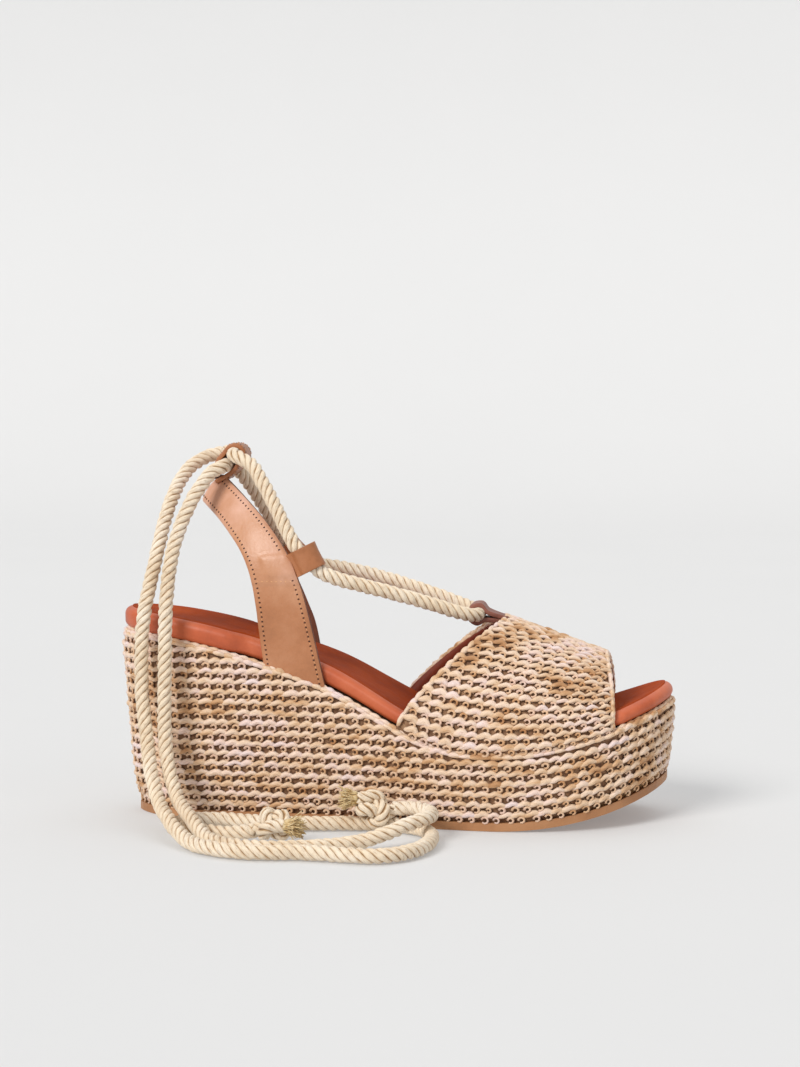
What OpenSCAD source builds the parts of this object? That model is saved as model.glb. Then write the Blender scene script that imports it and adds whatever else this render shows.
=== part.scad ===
// Wedge sandal for a right foot: woven platform wedge, open-toe woven vamp,
// leather heel sling and one long rope lace with a stopper knot on each end.
// +X points to the toe, +Y to the inner side of the foot, +Z up.
// The origin is on the floor, under the middle of the shoe's box without the rope.

/* [Sole] */
// Length of the sole at the woven rim
sole_length = 251; // [244:1:258]
// Width across the ball of the foot
ball_width = 90; // [86:1:94]
// Height of the woven rim at the back of the heel
heel_height = 84; // [80:1:88]
// Height of the woven rim under the ball of the foot
platform_height = 34.5; // [33:0.5:37]
// Rise of the toe tip above the floor
toe_spring = 18; // [15:1:20]
// Thickness of the outsole
outsole_t = 3.6; // [3:0.2:4.2]
// Thickness of the woven cover on the wedge
wrap_t = 2.4; // [1.8:0.2:2.8]

/* [Footbed] */
// Height of the padded footbed above the rim at the heel
footbed_heel_h = 9.4; // [8.6:0.2:10]
// Height of the padded footbed above the rim at the toe
footbed_toe_h = 6.6; // [6.2:0.2:7.4]
// Thickness of the leather sock over the foam
sock_t = 1.2; // [0.8:0.2:1.6]
// Thickness of the insole board
board_t = 2; // [1.4:0.2:2.6]
// Thickness of the turned-in margins and of the felt between them
margin_t = 1.2; // [0.8:0.2:1.4]

/* [Vamp] */
// Height of the vamp's crest at its rear point
vamp_height = 90; // [87:1:93]
// Fall of the crest towards the toe, per unit of length
crest_fall = 0.36; // [0.3:0.02:0.4]
// Thickness of the woven layer
weave_t = 2.2; // [1.6:0.2:2.6]
// Thickness of the vamp's lining
lining_t = 0.9; // [0.7:0.1:1.1]

/* [Heel sling] */
// Thickness of the strap's outer leather
strap_t = 1.5; // [1.2:0.1:1.8]
// Thickness of the strap's lining
strap_lining_t = 0.9; // [0.7:0.1:1.1]
// Thickness of the leather of the rope loops
loop_t = 1.2; // [0.9:0.1:1.5]
// Length of a side loop along the rope
side_loop_l = 11; // [9:0.5:12]
// Length of the heel loop across the heel
heel_loop_l = 16; // [13:0.5:17]
// Length of the vamp loop across the foot
vamp_loop_l = 13; // [10:0.5:14]

/* [Rope] */
// Diameter of the rope
rope_d = 6.5; // [6:0.1:6.6]
// Diameter of a stopper knot
knot_d = 17; // [15:0.5:18]

/* [Hidden] */

gap = 0.1;              // clearance between glued layers
seat = 0.3;             // clearance over and under a layer that bends two ways
ring_steps = 30;        // points on each side of a sole ring
kx = sole_length / 251; // stretch of the outline along the foot
ky = ball_width / 90;   // stretch of the outline across the foot

// Colours
tan_leather = "#C48A63";
rust_leather = "#B5562F";
raffia = "#D3B68E";
hemp = "#E0CBA4";
brown_loop = "#8E5B4E";

// ---- curves ---------------------------------------------------------------

function smooth(a, b, x) = let (t = min(1, max(0, (x - a) / (b - a)))) t * t * (3 - 2 * t);

function unit(v) = v / norm(v);

// Catmull-Rom blend of four neighbouring points
function blend4(a, b, c, d, t) =
    0.5 * (2 * b + (c - a) * t + (2 * a - 5 * b + 4 * c - d) * t * t
           + (3 * b - a - 3 * c + d) * t * t * t);

// Point at parameter u on a smooth open chain of points
function along(p, u) =
    let (n = len(p) - 1, i = min(n - 1, floor(u)))
    blend4(p[max(0, i - 1)], p[i], p[i + 1], p[min(n, i + 2)], u - i);

// Point at parameter u on a smooth closed chain of points
function around(p, u) =
    let (n = len(p), i = floor(u))
    blend4(p[(i + n - 1) % n], p[i % n], p[(i + 1) % n], p[(i + 2) % n], u - i);

// ---- plan outline of the sole ----------------------------------------------

// From the back of the heel along the outer side to the toe tip
outer_side = [[-125.5, 0], [-121, -14], [-109, -24], [-90, -28.5], [-60, -30.5], [-30, -33],
              [0, -38], [25, -42.5], [50, -45], [75, -43], [97, -35.5], [113, -22], [122, -7]];
// From the toe tip along the inner side back to the heel
inner_side = [[125.5, 8], [122.5, 22], [113, 33], [97, 40], [75, 43.8], [48, 44.8], [18, 41],
              [-12, 34.5], [-42, 29.5], [-72, 28.5], [-98, 26], [-116, 17]];
outline = [for (p = concat(outer_side, inner_side)) [p.x * kx, p.y * ky]];

outer_points = [for (i = [0 : ring_steps]) around(outline, len(outer_side) * i / ring_steps)];
inner_points = [for (i = [1 : ring_steps - 1])
    around(outline, len(outer_side) + len(inner_side) * i / ring_steps)];
plan = concat(outer_points, inner_points);

// Inward normal of the plan outline at point i
function inward(i) =
    let (n = len(plan), t = unit(plan[(i + 1) % n] - plan[(i + n - 1) % n])) [-t.y, t.x];

// Plan outline moved inwards; inset is a function of x
function inset_plan(inset) =
    [for (i = [0 : len(plan) - 1]) plan[i] + inward(i) * inset(plan[i].x)];

outer_table = [for (p = outer_points) [p.x, p.y]];
inner_table = [for (i = [0 : ring_steps]) let (k = (len(plan) - i) % len(plan)) plan[k]];

// Side of the sole at x: outer side is negative y, inner side positive y
function y_outer(x) = lookup(x, outer_table);
function y_inner(x) = lookup(x, inner_table);

// ---- side profile -----------------------------------------------------------

spring_start = 45 * kx;
toe_x = 125.5 * kx;

// Underside of the outsole: flat, then rising to the toe
function bottom_z(x) = x < spring_start ? 0
    : toe_spring * pow((x - spring_start) / (toe_x - spring_start), 2);

// Top edge of the woven cover
rim_curve = [[-126, heel_height], [-112, heel_height - 1.6], [-98, heel_height - 3.6],
             [-78, heel_height - 7.5], [-54, heel_height - 14.4], [-27, heel_height - 24],
             [0, platform_height + 11], [12, platform_height + 5], [24, platform_height + 1.2],
             [38, platform_height - 0.4], [54, platform_height], [72, platform_height + 2.2],
             [90, platform_height + 6.6], [108, platform_height + 12.5],
             [126, platform_height + 19]];
rim_table = [for (i = [0 : 56]) along(rim_curve, i / 4)];
function rim_z(x) = lookup(x / kx, rim_table);

// Part of the way from the outsole's top to the rim
function level_z(x, h) =
    let (low = bottom_z(x) + outsole_t + gap) low + (rim_z(x) - low) * h;

// How far the woven side leans in at each level, from the bottom to the rim
wall_levels = [[0, 4], [0.08, 2.6], [0.3, 1.6], [0.6, 0.8], [0.9, 0], [1, 0.5]];
// The back of the heel leans in further
function lean(x, inset) = inset * (1 + 1.3 * smooth(-90, -122, x));

// ---- solids from rings and grids ---------------------------------------------

// A ring of the plan at the given inset and height, both functions of x
function ring(inset, height) = [for (p = inset_plan(inset)) [p.x, p.y, height(p.x)]];

function wall_faces(n, k, next) =
    [for (i = [0 : n - 1])
        let (j = (i + 1) % n, a = k * n + i, b = k * n + j, c = next * n + j, d = next * n + i)
        each [[a, c, b], [a, d, c]]];

function cap_faces(n, base, up) =
    [for (i = [0 : n / 2 - 1])
        let (a = base + i, b = base + i + 1, c = base + (n - i - 1) % n, d = base + (n - i) % n)
        for (f = [[a, c, b], [a, d, c]])
            if (f[0] != f[1] && f[1] != f[2] && f[0] != f[2]) up ? f : [f[0], f[2], f[1]]];

// Closed solid through rings, with a cap on the first and on the last
module ring_solid(rings) {
    n = len(rings[0]);
    last = len(rings) - 1;
    polyhedron(
        points = [for (r = rings) each r],
        faces = concat([for (k = [0 : last - 1]) each wall_faces(n, k, k + 1)],
                       cap_faces(n, 0, false), cap_faces(n, last * n, true)));
}

// Closed band through rings, where the last joins the first
module ring_band(rings) {
    n = len(rings[0]);
    m = len(rings);
    polyhedron(points = [for (r = rings) each r],
               faces = [for (k = [0 : m - 1]) each wall_faces(n, k, (k + 1) % m)]);
}

// Solid sheet between two grids of points. Face is its outer side, where a step along a row
// crossed with a step to the next row points outwards.
module sheet(face, back) {
    rows = len(face);
    cols = len(face[0]);
    count = rows * cols;
    front_faces = [for (i = [0 : rows - 2], j = [0 : cols - 2])
        let (a = i * cols + j, b = a + 1, c = a + cols + 1, d = a + cols)
        each [[a, c, b], [a, d, c]]];
    back_faces = [for (f = front_faces) [f[0] + count, f[2] + count, f[1] + count]];
    border = concat([for (j = [0 : cols - 1]) j],
                    [for (i = [1 : rows - 1]) i * cols + cols - 1],
                    [for (j = [cols - 2 : -1 : 0]) (rows - 1) * cols + j],
                    [for (i = [rows - 2 : -1 : 1]) i * cols]);
    edge_faces = [for (k = [0 : len(border) - 1])
        let (a = border[k], b = border[(k + 1) % len(border)])
        each [[a, b, a + count], [b, b + count, a + count]]];
    polyhedron(points = concat([for (r = face) each r], [for (r = back) each r]),
               faces = concat(front_faces, back_faces, edge_faces));
}

// ---- wedge and sole -----------------------------------------------------------

module outsole() {
    steps = 24;
    // Underside: flat, then the toe spring as a curve
    low = concat([[-140, 0]],
                 [for (i = [0 : steps])
                     let (x = spring_start + (140 - spring_start) * i / steps) [x, bottom_z(x)]]);
    high = [for (i = [len(low) - 1 : -1 : 0]) [low[i].x, low[i].y + outsole_t]];
    color(tan_leather)
        intersection() {
            rotate([90, 0, 0])
                translate([0, 0, -60])
                    linear_extrude(height = 120) polygon(concat(low, high));
            translate([0, 0, -1])
                linear_extrude(height = 60) polygon(inset_plan(function (x) lean(x, 3.2)));
        }
}

module wedge_core() {
    depth = wrap_t + seat;
    color("#C9A77C")
        ring_solid(concat(
            [for (k = [0 : 3])
                let (w = wall_levels[k])
                ring(function (x) lean(x, w[1]) + depth, function (x) level_z(x, w[0]))],
            [ring(function (x) lean(x, 0.4) + depth, function (x) level_z(x, 0.9) - board_t),
             ring(function (x) lean(x, 0.5) + depth, function (x) rim_z(x) - board_t - seat)]));
}

module wedge_wrap() {
    color(raffia)
        ring_band(concat(
            [for (w = wall_levels)
                ring(function (x) lean(x, w[1]), function (x) level_z(x, w[0]))],
            [for (k = [len(wall_levels) - 1 : -1 : 0])
                let (w = wall_levels[k])
                ring(function (x) lean(x, w[1]) + wrap_t, function (x) level_z(x, w[0]))]));
}

// Flat layer that follows the rim, from one height above it to another
module layer(inset, low, high) {
    ring_solid([ring(inset, function (x) rim_z(x) + low), ring(inset, function (x) rim_z(x) + high)]);
}

module insole_board() {
    color("#8A6A4A") layer(function (x) lean(x, 0.5) + wrap_t + seat, -board_t, -gap);
}

// Felt that fills the hollow between the turned-in margins
module bottom_filler() {
    color("#9A9488") layer(function (x) margin_reach + 1, seat, margin_t);
}

// The footbed steps in where the vamp and the strap pass outside it
margin_reach = 13;
upper_room = 4.2;
function footbed_inset(x) =
    1 + (upper_room - 1) * smooth(-74, -64, x) * (1 - smooth(98, 104, x));

foam_low = margin_t + seat;

// Top of the footbed at x
function footbed_z(x) =
    rim_z(x) + footbed_heel_h + (footbed_toe_h - footbed_heel_h) * smooth(-60, 60, x);

module footbed_foam() {
    side = sock_t + gap;
    color("#E8D9B8")
        ring_solid([
            ring(function (x) footbed_inset(x) + side + 0.4, function (x) rim_z(x) + foam_low),
            ring(function (x) footbed_inset(x) + side, function (x) rim_z(x) + foam_low + 2.2),
            ring(function (x) footbed_inset(x) + side + 0.6,
                 function (x) footbed_z(x) - side - 1.4),
            ring(function (x) footbed_inset(x) + side + 3, function (x) footbed_z(x) - side)]);
}

// Leather sock: a cap over the foam with a rolled edge
module footbed_cover() {
    color(rust_leather)
        ring_solid([
            ring(function (x) footbed_inset(x) + sock_t + 3, function (x) footbed_z(x) - sock_t),
            ring(function (x) footbed_inset(x) + sock_t + 0.6,
                 function (x) footbed_z(x) - sock_t - 1.4),
            ring(function (x) footbed_inset(x) + sock_t, function (x) rim_z(x) + foam_low + 2.2),
            ring(function (x) footbed_inset(x) + sock_t + 0.4, function (x) rim_z(x) + foam_low),
            ring(function (x) footbed_inset(x) + 0.4, function (x) rim_z(x) + foam_low),
            ring(function (x) footbed_inset(x), function (x) rim_z(x) + foam_low + 2.2),
            ring(function (x) footbed_inset(x) + 0.8, function (x) footbed_z(x) - 1.6),
            ring(function (x) footbed_inset(x) + 3, function (x) footbed_z(x))]);
}

// ---- vamp ----------------------------------------------------------------------

vamp_apex_x = 49;    // rear point of the crest
vamp_front_x = 98.5; // front edge at the sides
vamp_rear_outer = 3; // rear corner on the outer side
vamp_rear_inner = -1;
arch_steps = 26;
vamp_cols = 9;

function crest_z(x) = vamp_height - (x - vamp_apex_x) * crest_fall;

// Point of the vamp's arch at x, a turned from the outer (0) to the inner side (180),
// d inside the outer face
function arch_point(x, a, d) =
    let (low = rim_z(x) + gap, y0 = y_outer(x) + d, y1 = y_inner(x) - d,
         rise = crest_z(x) - low - d, lean = 4 * sin(a))
    [x, (y0 + y1) / 2 - cos(a) * (y1 - y0) / 2 + lean, low + rise * pow(sin(a), 0.88)];

// Rear and front edge of the vamp at the turn a
function vamp_rear(a) =
    let (corner = a < 90 ? vamp_rear_outer : vamp_rear_inner)
    corner + (vamp_apex_x - corner) * pow(sin(a), 1.15);
function vamp_front(a) = vamp_front_x - 3 * pow(sin(a), 3);

function vamp_column(a, d) =
    [for (j = [0 : vamp_cols])
        arch_point(vamp_rear(a) + (vamp_front(a) - vamp_rear(a)) * j / vamp_cols, a, d)];

function vamp_grid(d) = [for (i = [0 : arch_steps]) vamp_column(180 * i / arch_steps, d)];

module vamp_weave() {
    edge = 0.3;
    color(raffia) sheet(vamp_grid(edge), vamp_grid(edge + weave_t));
}

// Row of the lining's turned-in margin, side is -1 outside and 1 inside
function margin_row(side, inset, z) =
    let (a = side < 0 ? 0 : 180)
    [for (j = [0 : vamp_cols])
        let (x = vamp_rear(a) + (vamp_front(a) - vamp_rear(a)) * j / vamp_cols)
        [x, side < 0 ? y_outer(x) + inset : y_inner(x) - inset, rim_z(x) + z]];

module vamp_lining() {
    out = 0.3 + weave_t + gap;
    inner = out + lining_t;
    face = concat([margin_row(-1, margin_reach, seat)], [margin_row(-1, out, seat)],
                  [for (i = [1 : arch_steps - 1]) vamp_column(180 * i / arch_steps, out)],
                  [margin_row(1, out, seat)], [margin_row(1, margin_reach, seat)]);
    back = concat([margin_row(-1, margin_reach, margin_t)], [margin_row(-1, inner, margin_t)],
                  [for (i = [1 : arch_steps - 1]) vamp_column(180 * i / arch_steps, inner)],
                  [margin_row(1, inner, margin_t)], [margin_row(1, margin_reach, margin_t)]);
    color("#8C4A30") sheet(face, back);
}

// Leather tunnel with room for the given number of ropes, its length along +Z
module rope_tunnel(length, ropes) {
    room = rope_d / 2 + 0.25;
    step = (ropes - 1) * rope_d / 2;
    linear_extrude(height = length, center = true)
        difference() {
            slot(room + loop_t, step);
            slot(room, step);
        }
}

module slot(r, step) {
    for (s = [-1, 1]) translate([s * step, 0]) circle(r, $fn = 48);
    if (step > 0) square([2 * step, 2 * r], center = true);
}

vamp_loop_at = [37, 2, 91];
module vamp_loop() {
    tab = 11;
    color(brown_loop)
        translate(vamp_loop_at) {
            rotate([90, 0, 0]) rope_tunnel(vamp_loop_l, 1);
            // Tab that is stitched to the vamp's rear point
            rotate([0, 12, 0])
                translate([rope_d / 2 + 0.6, -vamp_loop_l / 2, -loop_t])
                    cube([tab, vamp_loop_l, 2 * loop_t]);
        }
}

// ---- heel sling -----------------------------------------------------------------

// Front and rear edge of the strap, from its lower end to the back of the heel
outer_edges = [[[-32.5, -31.2, 78.5], [-58, -30.8, 86]],
               [[-35, -32.4, 90], [-59, -32, 96]],
               [[-39, -33, 105], [-61.5, -32, 109.5]],
               [[-44.3, -31.5, 118], [-66, -28.5, 119.5]],
               [[-54.5, -25.5, 132], [-72.3, -22, 127.5]],
               [[-67, -15, 144], [-79.5, -13, 134.5]]];
heel_edges = [[-78.5, 0, 152.5], [-88, 0, 140.5]];
// The inner half leans further back
inner_edges = [[[-73, 15, 143.5], [-84.5, 12, 134.2]],
               [[-66.5, 26, 130.5], [-80.5, 20.5, 126.5]],
               [[-59, 32, 117], [-77, 27, 118.5]],
               [[-51.5, 33, 105.5], [-72, 30.5, 109.5]],
               [[-45, 30.6, 92], [-68.5, 30, 98]],
               [[-41, 28.7, 81.9], [-66, 28.3, 89.4]]];

strap_edges = concat(outer_edges, [heel_edges], inner_edges);
spans = len(strap_edges) - 1;
strap_front = [for (e = strap_edges) e[0]];
strap_rear = [for (e = strap_edges) e[1]];

strap_steps = 36;
strap_across = 3;
crown = 1.2; // rise of the strap's middle over its edges

// Point on the strap, s along it from 0 to 1, w across from the rear edge, d outwards
function strap_point(s, w, d) =
    let (u = s * spans, v = min(u + 0.05, spans), t = max(u - 0.05, 0),
         front = along(strap_front, u), rear = along(strap_rear, u),
         ahead = along(strap_front, v) + along(strap_rear, v)
                 - along(strap_front, t) - along(strap_rear, t),
         out = unit(cross(ahead, rear - front)))
    rear + (front - rear) * w + out * (d + crown * sin(180 * w) * sin(180 * s));

// Rows of the strap, leaving out some at each end
function strap_grid(d, skip = 0) =
    [for (i = [skip : strap_steps - skip])
        [for (j = [0 : strap_across]) strap_point(i / strap_steps, j / strap_across, d)]];

// The strap flexes about a line through the middle of both lower ends
outer_end = (strap_front[0] + strap_rear[0]) / 2;
inner_end = (strap_front[spans] + strap_rear[spans]) / 2;
flex_axis = unit(inner_end - outer_end);
end_r = norm(strap_front[0] - strap_rear[0]) / 2;

// Places children with +Z along the flex line, from the outer end (side -1) or the inner (1)
module at_strap_end(side) {
    translate(side < 0 ? outer_end : inner_end)
        rotate([0, acos(flex_axis.z), atan2(flex_axis.y, flex_axis.x)])
            children();
}

// Round lower end of the strap
module strap_end(side) {
    at_strap_end(side)
        translate([0, 0, side * strap_t / 2])
            cylinder(r = end_r, h = strap_t, center = true, $fn = 64);
}

module heel_strap() {
    color(tan_leather) {
        sheet(strap_grid(strap_t), strap_grid(0));
        strap_end(-1);
        strap_end(1);
    }
}

// The lining stops above the strap's round ends
module heel_strap_lining() {
    color("#7A4A33") sheet(strap_grid(-gap, 4), strap_grid(-gap - strap_lining_t, 4));
}

// Lower end of the strap: it stands on the rim and turns in under the footbed
anchor_w = 26;
anchor_t = strap_t + strap_lining_t - 0.2;

module strap_anchor(side) {
    end = side < 0 ? outer_end : inner_end;
    base_x = end.x + 4;
    ends_x = [base_x - anchor_w / 2, base_x + anchor_w / 2];
    top_z = end.z - 7;
    swing = 0.5; // clearance round the strap's round end
    color(tan_leather) {
        difference() {
            translate([0, end.y + side * 0.3, 0])
                rotate([90, 0, 0])
                    linear_extrude(height = anchor_t, center = true)
                        polygon([[ends_x[0], rim_z(ends_x[0]) + 0.4],
                                 [ends_x[1], rim_z(ends_x[1]) + 0.4],
                                 [ends_x[1], top_z], [ends_x[0], top_z]]);
            at_strap_end(side) cylinder(r = end_r + swing, h = 20, center = true, $fn = 64);
        }
        turned_margin(side, ends_x[0], ends_x[1]);
    }
}

// Turned-in margin along the rim between two places
module turned_margin(side, x0, x1) {
    steps = 6;
    reach = [0.6, margin_reach];
    function row(z) = [for (i = [0 : steps])
        let (x = x0 + (x1 - x0) * i / steps)
        [for (d = reach) [x, side < 0 ? y_outer(x) + d : y_inner(x) - d, rim_z(x) + z]]];
    if (side < 0) sheet(row(seat), row(margin_t));
    else sheet(row(margin_t), row(seat));
}

module strap_anchor_outer() { strap_anchor(-1); }
module strap_anchor_inner() { strap_anchor(1); }

// Side loops sit on the strap's front edge and hold the rope alongside it
outer_loop_at = [-35.9, -34, 117.6];
inner_loop_at = [-51.5, 34.5, 117];
side_loop_dir = unit([1, 0, -1]);

module side_loop(at) {
    turn = atan2(side_loop_dir.x, side_loop_dir.z);
    color(tan_leather)
        translate(at)
            rotate([0, turn, 0]) {
                rope_tunnel(side_loop_l, 1);
                // Tail that is stitched to the strap
                translate([rope_d / 2 + 0.8, -loop_t, -side_loop_l / 2])
                    cube([8, 2 * loop_t, side_loop_l]);
            }
}

module side_loop_outer() { side_loop(outer_loop_at); }
module side_loop_inner() { side_loop(inner_loop_at); }

heel_loop_at = [-75, 0, 160];
heel_loop_tilt = 51; // the two ropes lie one above the other on this slope

module heel_loop() {
    color("#B07850")
        translate(heel_loop_at)
            rotate([90, 0, 0])
                rotate([0, 0, heel_loop_tilt]) {
                    rope_tunnel(heel_loop_l, 2);
                    // Tail that is stitched to the strap's upper edge
                    translate([-rope_d - 5.4, -loop_t, -heel_loop_l / 2])
                        cube([4.4, 2 * loop_t, heel_loop_l]);
                }
}

// ---- rope --------------------------------------------------------------------------

loop_reach = side_loop_dir * (side_loop_l / 2 + 1.5);
rope_step = [cos(heel_loop_tilt), 0, sin(heel_loop_tilt)] * rope_d / 2;
upper_lane = heel_loop_at + rope_step;
lower_lane = heel_loop_at - rope_step;
lane_end = heel_loop_l / 2 + 1.5;

// From the middle of the vamp loop round the outer side, through the heel loop from the
// outer to the inner side, down behind the heel and along the floor to its knot
outer_route = concat(
    [vamp_loop_at, [37, -5.5, 91], [34, -11, 91.3], [27, -15, 93.5], [15, -19.5, 97.6],
     [3, -24, 101.3], [-9, -28, 104.8], [-18.5, -31, 107.4], [-26, -33.2, 109.9],
     outer_loop_at + loop_reach, outer_loop_at - loop_reach, [-44.3, -32.3, 128],
     [-48.6, -29, 135.3], [-53, -25, 142.8], [-58, -20.5, 150.5], [-64, -15.5, 158.2]],
    [[upper_lane.x, -lane_end, upper_lane.z], [upper_lane.x, lane_end, upper_lane.z]],
    [[-78, 14.5, 163.5], [-85, 16, 162.5], [-92, 13, 160], [-97, 7, 155.5], [-100, -1, 149],
     [-102, -10, 140.5], [-103.5, -17.5, 131], [-105, -24, 119.5], [-107, -28.5, 107],
     [-109, -32, 95], [-110, -34, 82], [-110, -35, 69], [-109.5, -36.5, 56], [-107.5, -39.5, 44],
     [-105.5, -43.5, 34.5], [-103, -49.5, 26], [-99.5, -56.5, 18.5], [-95.5, -64.5, 13],
     [-91, -73, 10], [-85, -82.5, 6.5], [-77.5, -92.5, 3.6], [-68, -102, 3.4], [-56, -108, 3.4],
     [-44, -109.5, 3.4], [-30, -108, 3.4], [-16, -109.5, 3.4], [-2, -112, 3.4], [8, -110, 3.4],
     [16, -102, 3.4], [21, -90, 3.4], [22.5, -77, 3.4], [21, -65, 3.4], [15, -54.5, 3.4],
     [5, -48, 3.4], [-8, -46, 3.4], [-22, -47, 3.4], [-36, -49, 3.4], [-50, -49, 3.4],
     [-63, -45.5, 3.4], [-75, -43, 3.4], [-85, -46, 3.4], [-90, -55, 3.4], [-86, -64, 3.4],
     [-76, -69.5, 3.4], [-64, -73, 3.4], [-52, -76, 5.5]]);

// From the same point round the inner side, through the heel loop to the outer side
inner_route = concat(
    [vamp_loop_at, [37, 9.5, 91], [34, 15, 91.6], [26, 19, 94.3], [14, 21.5, 98.3], [-2, 25.3, 103],
     [-18, 29.5, 106.8], [-31, 32.6, 109], [-40, 33.8, 110.2],
     inner_loop_at + loop_reach, inner_loop_at - loop_reach, [-60.5, 33, 127.5],
     [-65, 29, 136], [-69.5, 23.5, 145], [-74, 16.5, 153]],
    [[lower_lane.x, lane_end, lower_lane.z], [lower_lane.x, -lane_end, lower_lane.z]],
    [[-81.5, -15, 155], [-86, -19, 149], [-90, -22.5, 141.5], [-94, -26.5, 131], [-97, -30, 119],
     [-98.5, -33, 105.5], [-99, -35.5, 92], [-99, -37, 78], [-99, -38, 64], [-99, -39, 51],
     [-98.5, -40.5, 40], [-97, -43.5, 30.5], [-94, -48.5, 21.5], [-89.5, -56, 14],
     [-84.5, -65, 11], [-79, -74, 8], [-72.5, -84, 4.2], [-64.5, -93, 3.4], [-54, -99, 3.4],
     [-42, -101, 3.4], [-29, -98.5, 3.4], [-17, -93.5, 3.4], [-6, -88, 4.2], [3, -84, 6.4],
     [11, -78.5, 9], [18, -71, 10.5], [21, -62, 10.6], [19, -52.5, 10.6],
     [12, -46.5, 10.6], [3.5, -47.5, 10.4]]);

// Rope as one tube through the route's points
module rope(route) {
    sides = 10;
    n = len(route);
    function heading(i) = unit(route[min(i + 1, n - 1)] - route[max(i - 1, 0)]);
    // Frame carried along the route, so that the tube doesn't twist
    function carry(i, side) = unit(side - heading(i) * (side * heading(i)));
    function sides_of(i, side) =
        i == n - 1 ? [side] : concat([side], sides_of(i + 1, carry(i + 1, side)));
    first = carry(0, [0, 0, 1]);
    frames = sides_of(0, first);
    rings = [for (i = [0 : n - 1])
        [for (k = [0 : sides - 1])
            let (a = 360 * k / sides, u = frames[i], v = cross(heading(i), u))
            route[i] + (u * cos(a) + v * sin(a)) * rope_d / 2]];
    far = (n - 1) * sides;
    polyhedron(points = [for (r = rings) each r],
               faces = concat([for (k = [0 : n - 2]) each wall_faces(sides, k, k + 1)],
                              [for (k = [1 : sides - 2]) [0, k, k + 1]],
                              [for (k = [1 : sides - 2]) [far, far + k + 1, far + k]]));
}

module rope_outer() { color(hemp) rope(outer_route); }
module rope_inner() { color(hemp) rope(inner_route); }

// Stopper knot at the end of a route, with the frayed rope end beyond it: one turned shape
knot_tuft = 14; // from the knot's middle to the tip of the frayed end

module stopper_knot(route) {
    last = route[len(route) - 1];
    ahead = unit(last - route[len(route) - 2]);
    r = knot_d / 2;
    stub = rope_d / 2;
    sink = sqrt(r * r - stub * stub);
    centre = last + ahead * (sink + 0.2);
    far_turn = 180 - asin(stub / r);
    steps = 14;
    color(hemp)
        translate([centre.x, centre.y, max(centre.z, r + 0.1)])
            rotate([0, 90, atan2(ahead.y, ahead.x)])
                rotate_extrude($fn = 40)
                    polygon(concat([for (i = [0 : steps])
                                       let (a = far_turn * i / steps) r * [sin(a), -cos(a)]],
                                   [[stub, knot_tuft], [0, knot_tuft]]));
}

module knot_outer() { stopper_knot(outer_route); }
module knot_inner() { stopper_knot(inner_route); }

outsole();
wedge_core();
wedge_wrap();
insole_board();
bottom_filler();
footbed_foam();
footbed_cover();
vamp_weave();
vamp_lining();
vamp_loop();
strap_anchor_outer();
strap_anchor_inner();
heel_strap();
heel_strap_lining();
side_loop_outer();
side_loop_inner();
heel_loop();
rope_outer();
rope_inner();
knot_outer();
knot_inner();
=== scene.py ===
"""Looks of a wedge sandal: woven wedge and vamp, leather heel sling and footbed, twisted rope lace.

Lengths in the tables are in millimetres, in the part's own frame: +X toe, +Y inner side, +Z up.
Meshes are scaled to metres when they are made.
"""

import math

import bpy
import numpy as np
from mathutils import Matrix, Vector


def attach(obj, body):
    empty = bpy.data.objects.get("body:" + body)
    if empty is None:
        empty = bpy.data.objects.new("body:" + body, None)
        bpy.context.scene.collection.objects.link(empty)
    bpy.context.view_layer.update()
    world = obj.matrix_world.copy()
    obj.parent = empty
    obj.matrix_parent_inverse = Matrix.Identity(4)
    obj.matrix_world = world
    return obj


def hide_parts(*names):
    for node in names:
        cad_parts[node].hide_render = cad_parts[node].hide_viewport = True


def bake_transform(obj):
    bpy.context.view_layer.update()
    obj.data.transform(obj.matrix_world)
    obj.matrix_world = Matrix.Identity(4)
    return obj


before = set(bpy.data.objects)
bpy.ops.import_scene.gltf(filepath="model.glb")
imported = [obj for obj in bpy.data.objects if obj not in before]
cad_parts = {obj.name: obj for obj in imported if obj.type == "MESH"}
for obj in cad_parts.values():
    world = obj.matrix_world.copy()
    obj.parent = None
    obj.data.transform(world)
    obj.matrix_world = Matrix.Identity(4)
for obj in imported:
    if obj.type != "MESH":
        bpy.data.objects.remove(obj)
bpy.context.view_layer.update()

MM = 0.001
PI = math.pi
rng = np.random.default_rng(11)


# ---- camera ----

CAMERA_PLACE = (0.1000, -0.9461, 0.1847)  # metres
CAMERA_YAW, CAMERA_DOWN = math.radians(5.95), math.radians(3.48)


def add_camera():
    """Long-lens camera on the outer side, a little ahead of the middle and looking slightly down."""
    data = bpy.data.cameras.new("camera")
    data.lens = 71.1
    data.sensor_width = 36
    data.clip_end = 50
    camera = bpy.data.objects.new("camera", data)
    bpy.context.scene.collection.objects.link(camera)
    camera.location = CAMERA_PLACE
    camera.rotation_euler = (PI / 2 - CAMERA_DOWN, 0, CAMERA_YAW)
    bpy.context.scene.camera = camera


# ---- curves ----

def smooth(a, b, x):
    """Soft step from 0 at a to 1 at b."""
    t = np.clip((x - a) / (b - a), 0, 1)
    return t * t * (3 - 2 * t)


def unit(v):
    return v / np.maximum(np.linalg.norm(v, axis=-1, keepdims=True), 1e-9)


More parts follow.
